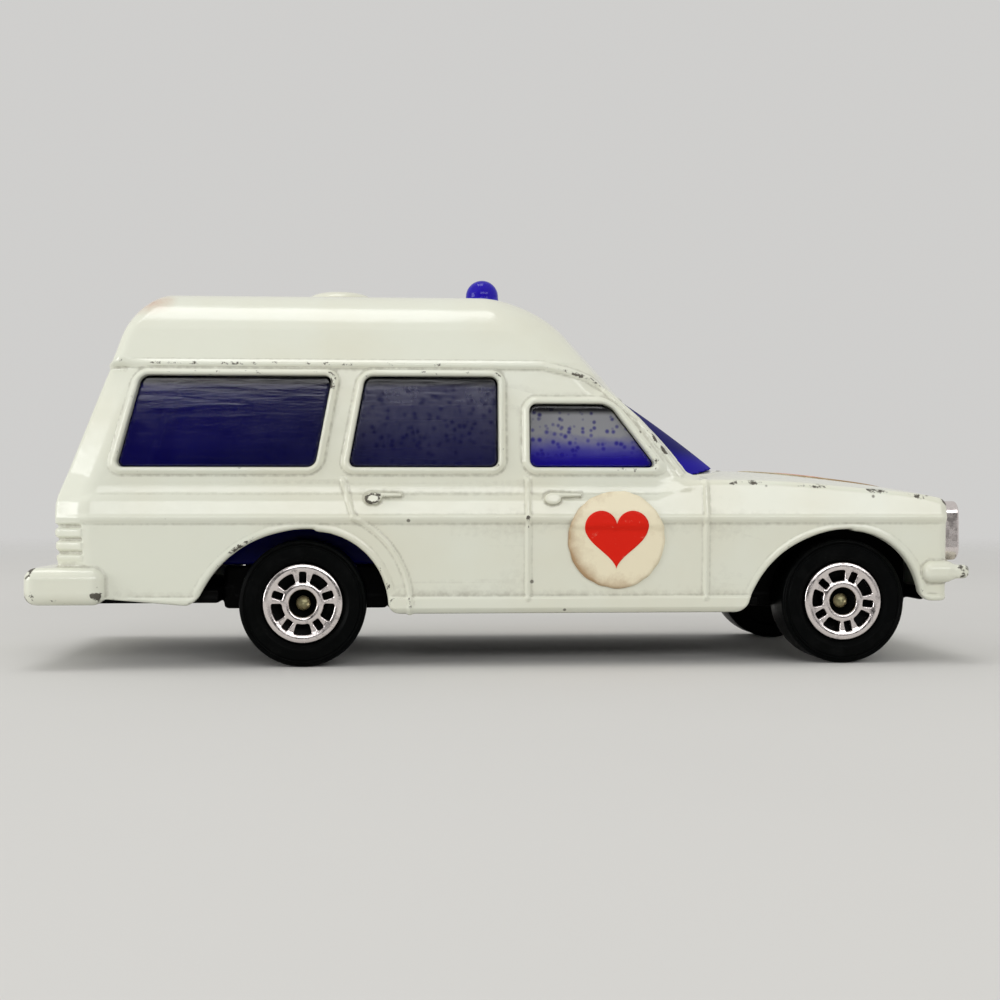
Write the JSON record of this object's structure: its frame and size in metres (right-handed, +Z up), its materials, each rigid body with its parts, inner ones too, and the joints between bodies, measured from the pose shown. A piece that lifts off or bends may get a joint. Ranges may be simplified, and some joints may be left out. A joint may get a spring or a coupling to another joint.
{
  "type": "toy ambulance",
  "caption": "Die-cast toy ambulance with a high roof, blue windows and beacon, black wheels with plated spoked hubs, and a lifting tailgate.",
  "frame": {"origin": "on the ground below the middle of the length and width", "axes": "+X to the front, +Y to the left side, +Z up"},
  "size_m": [0.075, 0.029, 0.0325],
  "materials": {
    "white_paint": "gloss off-white enamel over zinc casting",
    "black_base": "satin black paint over zinc casting",
    "blue_plastic": "clear deep blue plastic",
    "plated_plastic": "silver finish",
    "axle_wire": "dull brassy wire",
    "rivet_metal": "bare metal",
    "black_plastic": "semi-gloss black",
    "hub_plating": "bright metal plating on plastic",
    "label_paper": "aged coated paper"
  },
  "bodies": {
    "body": {"body_shell": "white_paint", "chassis_base": "black_base", "window_unit": "blue_plastic", "interior_tray": "blue_plastic", "grille": "plated_plastic", "headlamps": "plated_plastic", "front_axle": "axle_wire", "rear_axle": "axle_wire", "door_label_right": "label_paper", "door_label_left": "label_paper", "bonnet_label": "label_paper", "base_rivets": "rivet_metal"},
    "front_right_wheel_body": {"front_right_wheel": "black_plastic", "front_right_hub": "hub_plating"},
    "front_left_wheel_body": {"front_left_wheel": "black_plastic", "front_left_hub": "hub_plating"},
    "rear_right_wheel_body": {"rear_right_wheel": "black_plastic", "rear_right_hub": "hub_plating"},
    "rear_left_wheel_body": {"rear_left_wheel": "black_plastic", "rear_left_hub": "hub_plating"},
    "tailgate_body": {"tailgate": "white_paint", "tailgate_window": "blue_plastic"}
  },
  "joints": [
    {"name": "front_right_roll", "type": "hinge", "parent": "body", "child": "front_right_wheel_body", "pos_m": [0.02725, -0.0114, 0.005], "axis": [0, 1, 0], "continuous": true},
    {"name": "front_left_roll", "type": "hinge", "parent": "body", "child": "front_left_wheel_body", "pos_m": [0.02725, 0.0114, 0.005], "axis": [0, 1, 0], "continuous": true},
    {"name": "rear_right_roll", "type": "hinge", "parent": "body", "child": "rear_right_wheel_body", "pos_m": [-0.01605, -0.0114, 0.005], "axis": [0, 1, 0], "continuous": true},
    {"name": "rear_left_roll", "type": "hinge", "parent": "body", "child": "rear_left_wheel_body", "pos_m": [-0.01605, 0.0114, 0.005], "axis": [0, 1, 0], "continuous": true},
    {"name": "tailgate_lift", "type": "hinge", "parent": "body", "child": "tailgate_body", "pos_m": [-0.0313, 0, 0.0229], "axis": [0, 1, 0], "range_deg": [0, 70]}
  ]
}
